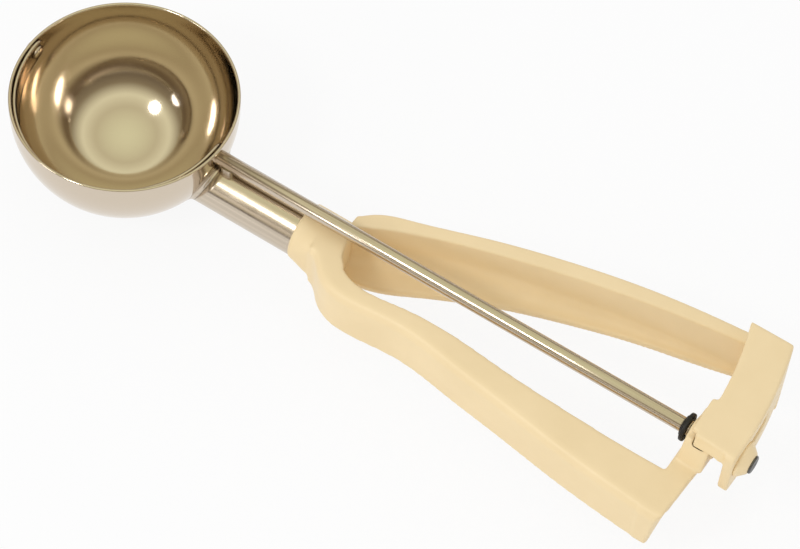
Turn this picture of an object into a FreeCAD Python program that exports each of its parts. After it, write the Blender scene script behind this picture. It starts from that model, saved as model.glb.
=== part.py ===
import FreeCAD, Part
import math
import os
from FreeCAD import Vector

# Squeeze-handled ice cream scoop, in millimetres.
# The rod turns about the X axis, the bowl opens to +Z, and the origin is the bowl's centre.

# Bowl: a half ball with a short straight wall above its centre
BOWL_R = 35.3
BOWL_WALL = 1.0
RIM_Z = 3.9

# Rod and the blade that it sweeps round the inside of the bowl
ROD_R = 2.37
ROD_END_X = 221.9
CAP_R = 5.4
CAP_TIP_R = 3.4
CAP_END_X = 221.0
RUNNING_GAP = 0.05
BLADE_GAP = 0.35
BLADE_THICK = 0.8
BLADE_HALF_WIDTH = 5.5
BLADE_EYE_R = 3.8
BLADE_REST_DEG = 8.0
BLADE_SWEEP_DEG = 164.0
PIVOT_R = 1.6
RIVET_HEAD_R = 2.8

# Shank: the tube that joins the bowl to the handle, under the rod
TUBE_R = 8.75
TUBE_WALL = 1.1
TUBE_Z = -13.2
TUBE_END_X = 73.0

# Handle: two arms of one height, with the upright flexing line near the tube's end
ARM_TOP = -4.0
ARM_BOTTOM = -22.0
FLANGE = 3.0
CREASE = 2.2
SHOULDER_TOP = -11.0
HUB_FRONT_X = 66.0
HUB_COLLAR_R = 9.4
FLEX_X = 78.0
BARREL_R = 4.0
KNUCKLE_R = 7.3
PART_GAP = 0.3

# End bracket of the palm arm, with the box that holds the pinion
BRACKET_FRONT_X = 200.5
BRACKET_REAR_X = 209.6
BRACKET_TIP_Y = 7.4
BOX_FRONT_X = 201.2
BOX_TOP_Z = 3.5
BEARING_R = 4.6
CAVITY_R = 5.7
CAVITY_X = (203.8, 208.0)

# Pinion and crown rack, whose teeth point at the flexing line
MODULE = 0.8
PINION_TEETH = 11
PRESSURE_DEG = 20.0
BACKLASH = 0.14
PINION_X = (204.1, 207.7)
RACK_R = (126.1, 129.6)

# Rack bar: an arched channel centred on the flexing line
BAR_R = (126.0, 139.9)
BAR_TOP = 7.5
BAR_PLATE = 1.5
BAR_START_DEG = -2.3
BAR_END_WALL_DEG = 0.55
BAR_END_WALL_Z = 3.9
BAR_END_Y = 37.6
BAR_WALL_R = 136.5
BAR_WALL_BOTTOM = -10.5
TAB_R = 124.2
TAB_DEG = (-1.6, 4.0)

PITCH_R = MODULE * PINION_TEETH / 2.0
MESH_R = sum(PINION_X) / 2.0 - FLEX_X
TURN_RATIO = MESH_R / PITCH_R
SQUEEZE_DEG = BLADE_SWEEP_DEG / TURN_RATIO
ARM_HEIGHT = ARM_TOP - ARM_BOTTOM
X_AXIS = Vector(1, 0, 0)
Z_AXIS = Vector(0, 0, 1)
FLEX = Vector(FLEX_X, 0, 0)


def rod_cylinder(radius, start, end, z=0.0):
    """A solid cylinder along X between two places."""
    return Part.makeCylinder(radius, end - start, Vector(start, 0, z), X_AXIS)


def box(low, high):
    """A box given by its two opposite corners."""
    size = Vector(*high) - Vector(*low)
    return Part.makeBox(size.x, size.y, size.z, Vector(*low))


def plan_curve(points):
    """A smooth edge through points of the plan."""
    curve = Part.BSplineCurve()
    curve.interpolate([Vector(x, y, 0) for x, y in points])
    return curve.toShape()


def plan_line(first, second):
    """A straight edge between two points of the plan."""
    return Part.makeLine(Vector(*first, 0), Vector(*second, 0))


def plate(edges, bottom, top):
    """Raise a closed outline of the plan between two heights."""
    wire = Part.Wire(Part.__sortEdges__(edges))
    face = Part.Face(wire)
    face.translate(Vector(0, 0, bottom))
    return face.extrude(Vector(0, 0, top - bottom))


def polar(radius, degrees):
    """The plan point at a radius and an angle about the flexing line."""
    angle = math.radians(degrees)
    return (FLEX_X + radius * math.cos(angle), radius * math.sin(angle))


def sector(inner, outer, start, end, bottom, top):
    """A piece of a flat ring about the flexing line, between two angles."""
    middle = (start + end) / 2.0
    arcs = []
    for radius in (inner, outer):
        points = [Vector(*polar(radius, angle), 0) for angle in (start, middle, end)]
        arcs.append(Part.Arc(*points).toShape())
    ends = [plan_line(polar(inner, angle), polar(outer, angle)) for angle in (start, end)]
    return plate(arcs + ends, bottom, top)


def rounded(shape, radius, wanted):
    """Round the edges that a test picks."""
    edges = [edge for edge in shape.Edges if wanted(edge)]
    return shape.makeFillet(radius, edges)


def bevelled(shape, size, wanted):
    """Bevel the edges that a test picks."""
    edges = [edge for edge in shape.Edges if wanted(edge)]
    return shape.makeChamfer(size, edges)


def across(edge, x_place):
    """Tell whether a whole edge lies in one plane across the rod."""
    bounds = edge.BoundBox
    return abs(bounds.XMin - x_place) < 0.01 and abs(bounds.XMax - x_place) < 0.01


def at_height(edge, height):
    """Tell whether a whole edge lies at one height."""
    bounds = edge.BoundBox
    return abs(bounds.ZMin - height) < 0.01 and abs(bounds.ZMax - height) < 0.01


def save(shape, name):
    """Write one piece, and stop if it is not one sound solid."""
    solids = shape.Solids
    if len(solids) != 1 or not solids[0].isValid():
        raise ValueError(f"{name}: {len(solids)} solids, or not sound")
    solids[0].exportStep(os.path.join("parts", name + ".step"))
    print(f"{name:20s} {solids[0].Volume:10.1f} mm3 {len(solids[0].Faces):4d} faces")


def make_bowl():
    """Spun half ball with its short straight wall and the two pivot holes."""
    inner = BOWL_R - BOWL_WALL
    diagonal = math.sqrt(0.5)
    lip = BOWL_WALL * 0.3
    outer_arc = Part.Arc(Vector(0, 0, -BOWL_R), Vector(BOWL_R * diagonal, 0, -BOWL_R * diagonal),
                         Vector(BOWL_R, 0, 0))
    inner_arc = Part.Arc(Vector(inner, 0, 0), Vector(inner * diagonal, 0, -inner * diagonal),
                         Vector(0, 0, -inner))
    corners = [Vector(BOWL_R, 0, 0), Vector(BOWL_R, 0, RIM_Z - lip), Vector(BOWL_R - lip, 0, RIM_Z),
               Vector(inner + lip, 0, RIM_Z), Vector(inner, 0, RIM_Z - lip), Vector(inner, 0, 0)]
    edges = [outer_arc.toShape()]
    edges += [Part.makeLine(first, second) for first, second in zip(corners, corners[1:])]
    edges += [inner_arc.toShape(), Part.makeLine(Vector(0, 0, -inner), Vector(0, 0, -BOWL_R))]
    shell = Part.Face(Part.Wire(edges)).revolve(Vector(0, 0, 0), Z_AXIS, 360)
    rod_hole = rod_cylinder(ROD_R + RUNNING_GAP, inner - 2.0, BOWL_R + 2.0)
    pivot_hole = rod_cylinder(PIVOT_R, -BOWL_R - 2.0, -inner + 2.0)
    return shell.cut([rod_hole, pivot_hole])


def make_blade():
    """Strip of a ball that hugs the bowl from the far pivot to the rod, with an eye at each end."""
    outer = BOWL_R - BOWL_WALL - BLADE_GAP
    shell = Part.makeSphere(outer).cut(Part.makeSphere(outer - BLADE_THICK))
    shoulder = 0.78 * outer
    tip = outer + 1.0
    outline = [(-tip, BLADE_EYE_R), (-shoulder, BLADE_HALF_WIDTH), (shoulder, BLADE_HALF_WIDTH),
               (tip, BLADE_EYE_R), (tip, -BLADE_EYE_R), (shoulder, -BLADE_HALF_WIDTH),
               (-shoulder, -BLADE_HALF_WIDTH), (-tip, -BLADE_EYE_R)]
    corners = [Vector(x, 0, z) for x, z in outline]
    band = Part.Face(Part.makePolygon(corners + corners[:1])).extrude(Vector(0, -outer - 1.0, 0))
    eyes = rod_cylinder(BLADE_EYE_R, -tip, tip)
    holes = rod_cylinder(PIVOT_R + RUNNING_GAP, -tip, 0.0).fuse(rod_cylinder(PIVOT_R, 0.0, tip))
    blade = shell.common(band.fuse(eyes)).cut(holes).removeSplitter()
    blade.rotate(Vector(0, 0, 0), X_AXIS, BLADE_REST_DEG)
    return blade


def make_pivot_rivet():
    """Rivet at the far side of the bowl, on which the blade's eye turns."""
    inner = BOWL_R - BOWL_WALL
    eye_inside = -inner + BLADE_GAP + BLADE_THICK + 0.3
    shank = rod_cylinder(PIVOT_R, -BOWL_R, eye_inside)
    head = rod_cylinder(RIVET_HEAD_R, -BOWL_R - 1.2, -BOWL_R)
    head = bevelled(head, 0.6, lambda edge: across(edge, -BOWL_R - 1.2))
    button = rod_cylinder(RIVET_HEAD_R - 0.4, eye_inside, eye_inside + 0.9)
    seat = Part.makeSphere(BOWL_R)
    collar = rod_cylinder(RIVET_HEAD_R, -BOWL_R, -inner).cut(seat)
    return shank.fuse([head, button, collar]).removeSplitter()


def make_tube():
    """Shank tube, coped to the bowl's ball and open at the handle end."""
    tube = rod_cylinder(TUBE_R, 20.0, TUBE_END_X, TUBE_Z)
    bore = rod_cylinder(TUBE_R - TUBE_WALL, 19.0, TUBE_END_X + 1.0, TUBE_Z)
    return tube.cut([bore, Part.makeSphere(BOWL_R)])


def make_braze():
    """Ring of brazing where the tube meets the bowl."""
    swell = rod_cylinder(TUBE_R + 0.7, 20.0, 34.3, TUBE_Z)
    tube = rod_cylinder(TUBE_R, 19.0, 36.0, TUBE_Z)
    skin = Part.makeSphere(BOWL_R + 0.9)
    return swell.cut([tube, Part.makeSphere(BOWL_R)]).common(skin)


def make_saddle():
    """Small cradle on the tube that steadies the rod beside the bowl."""
    block = box((37.0, -2.7, TUBE_Z + TUBE_R - 1.0), (41.0, 2.7, -0.7))
    block = rounded(block, 1.2, lambda edge: edge.BoundBox.ZLength > 3.0)
    rod = rod_cylinder(ROD_R + RUNNING_GAP, 36.0, 42.0)
    return block.cut([rod, rod_cylinder(TUBE_R, 36.0, 42.0, TUBE_Z)])


def make_rod():
    """Long rod, stepped down at the bowl to carry the blade's eye."""
    eye_outside = BOWL_R - BOWL_WALL - BLADE_GAP + 0.15
    eye_inside = BOWL_R - BOWL_WALL - BLADE_GAP - BLADE_THICK - 0.3
    body = rod_cylinder(ROD_R, eye_outside, ROD_END_X)
    body = bevelled(body, 0.4, lambda edge: across(edge, ROD_END_X))
    return body.fuse(rod_cylinder(PIVOT_R, eye_inside, eye_outside)).removeSplitter()


def make_blade_rivet():
    """Peened head that holds the blade on the rod."""
    inside = BOWL_R - BOWL_WALL - BLADE_GAP - BLADE_THICK - 0.3
    head = rod_cylinder(RIVET_HEAD_R - 0.4, inside - 1.0, inside)
    return bevelled(head, 0.5, lambda edge: across(edge, inside - 1.0))


def make_thrust_washer():
    """Black shouldered washer between the rod's shoulder and the bracket."""
    disc = rod_cylinder(4.5, BRACKET_FRONT_X - 1.5, BRACKET_FRONT_X - 0.3)
    disc = bevelled(disc, 0.3, lambda edge: edge.Length > 20.0)
    neck = rod_cylinder(3.3, BRACKET_FRONT_X - 2.3, BRACKET_FRONT_X - 1.5)
    return disc.fuse(neck).cut(rod_cylinder(ROD_R, 190.0, 210.0)).removeSplitter()


def involute_point(base_r, roll, turn, mirror):
    """A point of an involute, turned about the rod's axis."""
    radius = base_r * math.sqrt(1.0 + roll * roll)
    angle = roll - math.atan(roll)
    angle = turn + (-angle if mirror else angle)
    return Vector(0, radius * math.cos(angle), radius * math.sin(angle))


def make_pinion():
    """Eleven-tooth involute pinion pressed on the rod."""
    base_r = PITCH_R * math.cos(math.radians(PRESSURE_DEG))
    tip_r = PITCH_R + MODULE
    root_r = PITCH_R - 1.2 * MODULE
    tip_roll = math.sqrt((tip_r / base_r) ** 2 - 1.0)
    pitch_roll = math.tan(math.radians(PRESSURE_DEG))
    flank = pitch_roll - math.atan(pitch_roll)
    half_tooth = math.pi / (2.0 * PINION_TEETH) - BACKLASH / (2.0 * PITCH_R) + flank
    start = PINION_X[0]
    length = PINION_X[1] - start
    gear = rod_cylinder(root_r, *PINION_X)
    teeth = []
    for tooth in range(PINION_TEETH):
        centre = math.radians(-90.0) + 2.0 * math.pi * tooth / PINION_TEETH
        flanks = []
        for side in (-1, 1):
            rolls = [tip_roll * step / 4.0 for step in range(5)]
            curve = Part.BSplineCurve()
            turn = centre + side * half_tooth
            curve.interpolate([involute_point(base_r, roll, turn, side > 0) for roll in rolls])
            foot = Vector(0, 0.8 * root_r * math.cos(turn), 0.8 * root_r * math.sin(turn))
            flanks.append((foot, curve))
        low = flanks[0][1]
        high = flanks[1][1]
        edges = [Part.makeLine(flanks[0][0], low.StartPoint), low.toShape(),
                 Part.makeLine(low.EndPoint, high.EndPoint), high.toShape(),
                 Part.makeLine(high.StartPoint, flanks[1][0]),
                 Part.makeLine(flanks[1][0], flanks[0][0])]
        face = Part.Face(Part.Wire(Part.__sortEdges__(edges)))
        face.translate(Vector(start, 0, 0))
        teeth.append(face.extrude(Vector(length, 0, 0)))
    return gear.fuse(teeth).cut(rod_cylinder(ROD_R, 200.0, 212.0)).removeSplitter()


def rack_tooth(degrees):
    """One crown-rack tooth: a tapered bar whose sides point at the flexing line."""
    addendum = 0.85 * MODULE
    root_z = PITCH_R + 1.25 * MODULE
    tip_z = PITCH_R - addendum
    half_pitch = math.pi * MODULE / 4.0 - BACKLASH / 2.0
    slope = math.tan(math.radians(PRESSURE_DEG))
    wires = []
    for radius in RACK_R:
        x_here, scale = radius, radius / MESH_R
        root = (half_pitch + (root_z - PITCH_R) * slope) * scale
        tip = (half_pitch - addendum * slope) * scale
        corners = [(-root, root_z), (-tip, tip_z), (tip, tip_z), (root, root_z)]
        points = [Vector(FLEX_X + x_here, y, z) for y, z in corners]
        wires.append(Part.makePolygon(points + points[:1]))
    tooth = Part.makeLoft(wires, True, True)
    tooth.rotate(FLEX, Z_AXIS, degrees)
    return tooth


def make_rack():
    """Crown rack: radial teeth under a thin arched strip."""
    pitch_deg = math.degrees(math.pi * MODULE / MESH_R)
    count = 2 + math.ceil(SQUEEZE_DEG / pitch_deg)
    strip_z = PITCH_R + 1.2 * MODULE
    first = -1
    low = (first - 0.5) * pitch_deg
    high = (first + count + 0.5) * pitch_deg
    strip = sector(*RACK_R, low, high, strip_z, BAR_TOP - BAR_PLATE)
    teeth = [rack_tooth((first + index) * pitch_deg) for index in range(count + 1)]
    return strip.fuse(teeth).removeSplitter()


def make_rack_bar():
    """Arched channel over the pinion: top plate, end wall, rear wall with its slot, corner block."""
    under = BAR_TOP - BAR_PLATE
    end_deg = 20.0
    plate_ring = sector(*BAR_R, BAR_START_DEG, end_deg, under, BAR_TOP)
    tab = sector(TAB_R, BAR_R[0] + 0.5, *TAB_DEG, under, BAR_TOP)
    wall = sector(BAR_WALL_R, BAR_R[1], BAR_START_DEG - 0.4, end_deg, BAR_WALL_BOTTOM, under)
    end_wall = sector(*BAR_R, BAR_START_DEG, BAR_START_DEG + BAR_END_WALL_DEG, BAR_END_WALL_Z, under)
    corner_deg = 13.2
    corner = sector(*BAR_R, corner_deg, end_deg, ARM_TOP, under)
    foot = sector(*BAR_R, corner_deg, end_deg, ARM_BOTTOM, ARM_TOP)
    beyond = box((190.0, BAR_END_Y, ARM_TOP), (230.0, 60.0, BAR_TOP + 1.0))
    outside = box((190.0, 41.6, ARM_BOTTOM - 1.0), (230.0, 60.0, ARM_TOP + 1.0))
    slot_deg = math.degrees((ROD_R + 0.6) / BAR_WALL_R)
    slot_low = -slot_deg
    slot_high = SQUEEZE_DEG + slot_deg
    slot_half = ROD_R + 0.55
    slot = sector(BAR_WALL_R - 1.0, BAR_R[1] + 1.0, slot_low, slot_high, -slot_half, slot_half)
    bar = plate_ring.fuse([tab, wall, end_wall, corner, foot]).removeSplitter()
    bar = bar.cut([beyond, outside, slot]).removeSplitter()
    return rounded(bar, 0.6, lambda edge: at_height(edge, BAR_TOP))


def make_squeeze_arm():
    """Finger arm: an upright outer wall on a ledge, with the knuckle round the flexing line."""
    outer = [(79.8, 8.8), (83.6, 12.3), (94.7, 17.0), (116.6, 24.6), (137.6, 30.8),
             (165.3, 37.0), (182.0, 39.4), (206.0, 41.6)]
    inner = [(206.0, 37.3), (182.0, 34.4), (155.5, 29.6), (128.2, 22.8), (104.3, 15.3),
             (92.0, 10.3), (82.4, 5.4)]
    lip = [(206.0, 37.0), (188.0, 32.4), (169.1, 28.2), (145.4, 21.2), (130.2, 15.8),
           (114.5, 8.8), (105.8, 4.4), (92.0, -2.2), (84.2, -3.4)]
    root = (79.3, 5.0)
    wall = plate([plan_curve(outer), plan_line(outer[-1], inner[0]), plan_curve(inner),
                  plan_line(inner[-1], root), plan_line(root, outer[0])], ARM_BOTTOM, ARM_TOP)
    ledge = plate([plan_curve(outer), plan_line(outer[-1], lip[0]), plan_curve(lip),
                   plan_line(lip[-1], root), plan_line(root, outer[0])],
                  ARM_BOTTOM, ARM_BOTTOM + FLANGE)
    knuckle = sector(BARREL_R + PART_GAP, KNUCKLE_R, -75.0, 76.0, ARM_BOTTOM, ARM_TOP)
    barrel = Part.makeCylinder(BARREL_R + PART_GAP, ARM_HEIGHT, Vector(FLEX_X, 0, ARM_BOTTOM))
    beyond = sector(BAR_R[0], BAR_R[0] + 40.0, 0.0, 30.0, ARM_BOTTOM - 1.0, ARM_TOP + 1.0)
    arm = wall.fuse([ledge, knuckle]).cut([barrel, beyond]).removeSplitter()
    return bevelled(arm, 0.8, lambda edge: at_height(edge, ARM_TOP) and edge.Length > 60.0)


def palm_arm_solid():
    """Palm arm and its end bracket in plan, raised to the arm's height."""
    outer = [(70.0, -9.2), (76.0, -10.4), (80.5, -14.6), (86.5, -18.0), (98.0, -18.6),
             (112.0, -17.6), (130.0, -19.8), (150.0, -22.6), (170.0, -25.6), (190.0, -27.8),
             (205.4, -29.0)]
    inner = [(BRACKET_FRONT_X, -13.4), (185.0, -13.6), (164.5, -13.0), (146.8, -12.1),
             (126.8, -10.4), (107.6, -11.0), (96.0, -12.2), (88.0, -10.4), (82.0, -6.0)]
    hinge_side = (78.0, -2.0)
    front = [(70.0, -2.0), (70.0, -9.2)]
    tip = [(207.5, -27.2), (BRACKET_REAR_X, BRACKET_TIP_Y), (BRACKET_FRONT_X, BRACKET_TIP_Y)]
    edges = [plan_curve(outer), plan_line(outer[-1], tip[0]), plan_line(tip[0], tip[1]),
             plan_line(tip[1], tip[2]), plan_line(tip[2], inner[0]), plan_curve(inner),
             plan_line(inner[-1], hinge_side), plan_line(hinge_side, front[0]),
             plan_line(front[0], front[1])]
    arm = plate(edges, ARM_BOTTOM, ARM_TOP)
    return bevelled(arm, CREASE, lambda edge: at_height(edge, ARM_TOP) and edge.BoundBox.YMin < -28.9
                    and edge.Length > 60.0)


def palm_arm_hollow():
    """Space under the palm arm's top flange, open to the grip side and below."""
    web = [(97.0, -14.2), (112.0, -13.3), (130.0, -15.5), (150.0, -18.3), (170.0, -21.3),
           (190.0, -23.5), (197.5, -24.0)]
    edges = [plan_curve(web), plan_line(web[-1], (197.5, -8.0)), plan_line((197.5, -8.0), (97.0, -8.0)),
             plan_line((97.0, -8.0), web[0])]
    grip = plate(edges, ARM_BOTTOM - 1.0, ARM_TOP - FLANGE)
    bracket = box((203.2, -24.0, ARM_BOTTOM - 1.0), (206.0, -9.0, ARM_TOP - FLANGE))
    return grip.fuse(bracket)


def make_handle():
    """Fixed half of the handle: collar on the tube, palm arm, end bracket and pinion box."""
    collar = rod_cylinder(HUB_COLLAR_R, HUB_FRONT_X, FLEX_X - 0.1, TUBE_Z)
    collar = rounded(collar, 0.8, lambda edge: abs(edge.BoundBox.XMax - HUB_FRONT_X) < 0.01)
    shoulder = [(70.0, 9.2), (74.0, 9.3), (77.9, 9.2)]
    side = plate([plan_curve(shoulder), plan_line(shoulder[-1], (77.9, -2.5)),
                  plan_line((77.9, -2.5), (70.0, -2.5)), plan_line((70.0, -2.5), shoulder[0])],
                 ARM_BOTTOM, SHOULDER_TOP)
    barrel = Part.makeCylinder(BARREL_R, ARM_HEIGHT, Vector(FLEX_X, 0, ARM_BOTTOM))
    groove = sector(BARREL_R, KNUCKLE_R + PART_GAP, -84.0, 90.0, ARM_BOTTOM - 1.0, ARM_TOP + 1.0)
    socket = rod_cylinder(TUBE_R, HUB_FRONT_X - 1.0, TUBE_END_X, TUBE_Z)
    section = [(-8.6, ARM_TOP - 1.0), (-8.6, ARM_TOP), (-5.5, BOX_TOP_Z), (BRACKET_TIP_Y, BOX_TOP_Z),
               (BRACKET_TIP_Y, ARM_TOP - 1.0)]
    corners = [Vector(BOX_FRONT_X, y, z) for y, z in section]
    side_face = Part.Face(Part.makePolygon(corners + corners[:1]))
    pinion_box = side_face.extrude(Vector(BRACKET_REAR_X - BOX_FRONT_X, 0, 0))
    front_bearing = rod_cylinder(BEARING_R, BOX_FRONT_X, CAVITY_X[0])
    rear_bearing = rod_cylinder(BEARING_R, CAVITY_X[1], BRACKET_REAR_X + 0.8)
    cavity = rod_cylinder(CAVITY_R, *CAVITY_X)
    bore = rod_cylinder(ROD_R + RUNNING_GAP, 198.0, 212.0)
    arm = palm_arm_solid().cut(palm_arm_hollow())
    body = collar.fuse([side, barrel, arm, pinion_box, front_bearing, rear_bearing])
    body = body.cut([groove.cut(barrel), socket, cavity, bore])
    return body.removeSplitter()


def make_end_cap():
    """Cap on the rod behind the rack bar's wall, tapering to the rod's end."""
    start = FLEX_X + BAR_R[1] + 0.3
    foot = rod_cylinder(CAP_R, start, start + 1.0)
    crown = Part.makeCone(CAP_R, CAP_TIP_R, CAP_END_X - start - 1.0, Vector(start + 1.0, 0, 0), X_AXIS)
    return foot.fuse(crown).cut(rod_cylinder(ROD_R, 210.0, 230.0)).removeSplitter()


def make_retaining_ring():
    """Push-on steel ring that keeps the cap on the rod."""
    ring = rod_cylinder(CAP_TIP_R - 0.1, CAP_END_X, CAP_END_X + 0.5)
    return ring.cut(rod_cylinder(ROD_R, 210.0, 230.0))


def main():
    """Build every piece and write it."""
    os.makedirs("parts", exist_ok=True)
    makers = {
        "bowl": make_bowl,
        "ejector_blade": make_blade,
        "blade_pivot_rivet": make_pivot_rivet,
        "shank_tube": make_tube,
        "shank_braze": make_braze,
        "rod_saddle": make_saddle,
        "ejector_rod": make_rod,
        "blade_end_rivet": make_blade_rivet,
        "thrust_washer": make_thrust_washer,
        "pinion": make_pinion,
        "crown_rack": make_rack,
        "rack_bar": make_rack_bar,
        "squeeze_arm": make_squeeze_arm,
        "handle_body": make_handle,
        "rod_end_cap": make_end_cap,
        "retaining_ring": make_retaining_ring,
    }
    for name, maker in makers.items():
        save(maker(), name)
    print(f"ratio {TURN_RATIO:.5f}, squeeze {SQUEEZE_DEG:.4f} degrees")


main()
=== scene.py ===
"""Dresses the packed ice cream scoop: smooth skins for most pieces, their finishes, a plain studio."""

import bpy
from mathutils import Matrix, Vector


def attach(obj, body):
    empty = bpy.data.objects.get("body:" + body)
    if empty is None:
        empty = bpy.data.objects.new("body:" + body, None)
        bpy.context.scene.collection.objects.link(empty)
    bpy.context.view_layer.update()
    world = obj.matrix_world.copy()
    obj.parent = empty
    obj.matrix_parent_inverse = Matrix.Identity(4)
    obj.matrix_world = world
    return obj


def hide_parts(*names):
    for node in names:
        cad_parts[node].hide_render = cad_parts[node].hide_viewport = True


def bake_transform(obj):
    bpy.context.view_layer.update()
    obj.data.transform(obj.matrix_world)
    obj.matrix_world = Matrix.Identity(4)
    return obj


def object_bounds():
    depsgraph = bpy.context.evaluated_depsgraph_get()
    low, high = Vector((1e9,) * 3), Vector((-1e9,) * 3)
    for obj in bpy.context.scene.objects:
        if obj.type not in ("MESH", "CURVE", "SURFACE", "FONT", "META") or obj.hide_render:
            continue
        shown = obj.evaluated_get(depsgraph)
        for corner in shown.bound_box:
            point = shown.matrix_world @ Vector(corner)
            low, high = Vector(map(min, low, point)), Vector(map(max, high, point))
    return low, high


bl_info = {
    "name": "Ice Cream Scoop Dresser",
    "version": (1, 0, 0),
    "blender": (4, 5, 0),
    "location": "View3D > Sidebar > Scoop",
    "description": "Builds the skins, finishes and studio of a squeeze-handled ice cream scoop",
    "category": "Add Mesh",
}

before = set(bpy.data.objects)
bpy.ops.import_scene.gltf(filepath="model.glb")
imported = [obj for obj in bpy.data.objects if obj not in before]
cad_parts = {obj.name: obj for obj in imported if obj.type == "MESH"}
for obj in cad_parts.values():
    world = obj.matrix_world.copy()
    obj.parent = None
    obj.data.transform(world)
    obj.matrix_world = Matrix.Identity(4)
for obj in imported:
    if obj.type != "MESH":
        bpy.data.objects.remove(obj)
CAD_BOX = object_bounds()

import math

import bmesh
import bpy
import numpy as np
from bpy.props import FloatProperty, FloatVectorProperty, IntProperty, PointerProperty
from mathutils import Matrix, Vector

# Places shared by several pieces, in millimetres, in the frame of the part
MM = 0.001
BALL_R = 35.3
SHEET = 1.0
RIM_Z = 3.9
ROD_R = 2.37
ROD_END_X = 221.9
TUBE_R = 8.75
TUBE_Z = -13.2
ARM_TOP = -4.0
ARM_BOTTOM = -22.0
FLEX_X = 78.0
SQUEEZE_DEG = 5.6419
BLADE_GAP = 0.35
BLADE_THICK = 0.8
PIN_R = 1.6
TUBE_WALL = 1.1
TUBE_END_X = 73.0
CREASE = 2.6
WEB_THICK = 4.3
BAR_RADII = (126.0, 139.9)
BAR_WALL_RADII = (136.5, 139.9)
BAR_FAR_Y = 37.6
BAR_CORNER_Y = 41.5
SLOT_GAP = 0.6
SECTOR_ROWS = 24

# Radius of the glowing dome of painted reflections, in metres
REFLECTION_DOME_RADIUS = 2.4


# Meshes from arrays


def ring_faces(rows, columns, rows_closed=False):
    """Quads of a grid that is closed across its columns, and along its rows too if asked."""
    last = rows if rows_closed else rows - 1
    row, column = np.meshgrid(np.arange(last), np.arange(columns), indexing="ij")
    below = (row + 1) % rows
    right = (column + 1) % columns
    quads = np.stack([row * columns + column, row * columns + right,
                      below * columns + right, below * columns + column], axis=-1)
    return quads.reshape(-1, 4)


def mesh_from(name, points, faces, extra=()):
    """A mesh from an array of points in millimetres, an array of quads and any other faces."""
    mesh = bpy.data.meshes.new(name)
    every = faces.tolist() + [list(face) for face in extra]
    mesh.from_pydata((points.reshape(-1, 3) * MM).tolist(), [], every)
    mesh.validate()
    return mesh


def tidy_normals(mesh):
    """Merge doubles, turn every face outwards and shade the mesh smooth."""
    work = bmesh.new()
    work.from_mesh(mesh)
    bmesh.ops.remove_doubles(work, verts=work.verts, dist=0.004 * MM)
    bmesh.ops.dissolve_degenerate(work, edges=work.edges, dist=0.001 * MM)
    bmesh.ops.recalc_face_normals(work, faces=work.faces)
    work.to_mesh(mesh)
    work.free()
    mesh.shade_smooth()
    return mesh


def place(name, mesh, material, body, nodes):
    """Put a finished piece in the scene, on its body, in place of its nodes."""
    piece = bpy.data.objects.new(name, mesh)
    bpy.context.scene.collection.objects.link(piece)
    mesh.materials.clear()
    mesh.materials.append(material)
    if body:
        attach(piece, body)
    if nodes:
        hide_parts(*nodes)
    return piece


def arc_points(centre, radius, start, end, count):
    """Points of an arc: centre + radius (cos, sin), from start to end in degrees."""
    angle = np.radians(np.linspace(start, end, count))
    return np.stack([centre[0] + radius * np.cos(angle), centre[1] + radius * np.sin(angle)], axis=1)


def lathe_x(profile, segments):
    """Turn a profile of (x, radius) about the X axis: (x, radius cos a, radius sin a)."""
    profile = np.asarray(profile, float)
    angle = np.linspace(0.0, 2.0 * np.pi, segments, endpoint=False)
    x = np.repeat(profile[:, :1], segments, axis=1)
    y = profile[:, 1:] * np.cos(angle)
    z = profile[:, 1:] * np.sin(angle)
    return np.stack([x, y, z], axis=-1)


def lathe_z(profile, segments):
    """Turn a profile of (radius, z) about the Z axis: (radius cos a, radius sin a, z)."""
    profile = np.asarray(profile, float)
    angle = np.linspace(0.0, 2.0 * np.pi, segments, endpoint=False)
    x = profile[:, :1] * np.cos(angle)
    y = profile[:, :1] * np.sin(angle)
    z = np.repeat(profile[:, 1:], segments, axis=1)
    return np.stack([x, y, z], axis=-1)


def turned_piece(name, grid, closed=False):
    """Mesh of a lathe grid; an open one is shut by the rows at its ends, which lie on the axis."""
    mesh = mesh_from(name, grid, ring_faces(grid.shape[0], grid.shape[1], closed))
    return tidy_normals(mesh)


def smooth_curve(points, count):
    """Natural cubic spline through plan points by chord length, sampled evenly, as an array."""
    points = np.asarray(points, float)
    chord = np.concatenate([[0.0], np.cumsum(np.linalg.norm(np.diff(points, axis=0), axis=1))])
    step = np.diff(chord)
    size = len(points)
    system = np.eye(size)
    inside = np.arange(1, size - 1)
    system[inside, inside - 1] = step[:-1]
    system[inside, inside] = 2.0 * (step[:-1] + step[1:])
    system[inside, inside + 1] = step[1:]
    slope = np.diff(points, axis=0) / step[:, None]
    right = np.zeros_like(points)
    right[1:-1] = 6.0 * np.diff(slope, axis=0)
    bend = np.linalg.solve(system, right)
    along = np.linspace(0.0, chord[-1], count)
    span = np.clip(np.searchsorted(chord, along) - 1, 0, size - 2)
    left, gap = chord[span], step[span][:, None]
    before = ((chord[span + 1] - along) / step[span])[:, None]
    after = ((along - left) / step[span])[:, None]
    return (before * points[span] + after * points[span + 1]
            + ((before ** 3 - before) * bend[span] + (after ** 3 - after) * bend[span + 1]) * gap ** 2 / 6.0)


def height_over(curve_points, x):
    """The spline's y at given x, for a curve that never turns back in x."""
    curve = smooth_curve(curve_points, 400)
    return np.interp(x, curve[:, 0], curve[:, 1])


def shell(grid):
    """(points, faces, caps) of a closed shell whose rows are sections and whose ends are capped."""
    rows, columns = grid.shape[:2]
    first = list(range(columns))
    last = [(rows - 1) * columns + column for column in range(columns)]
    return grid.reshape(-1, 3), ring_faces(rows, columns), [first, last[::-1]]


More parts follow.
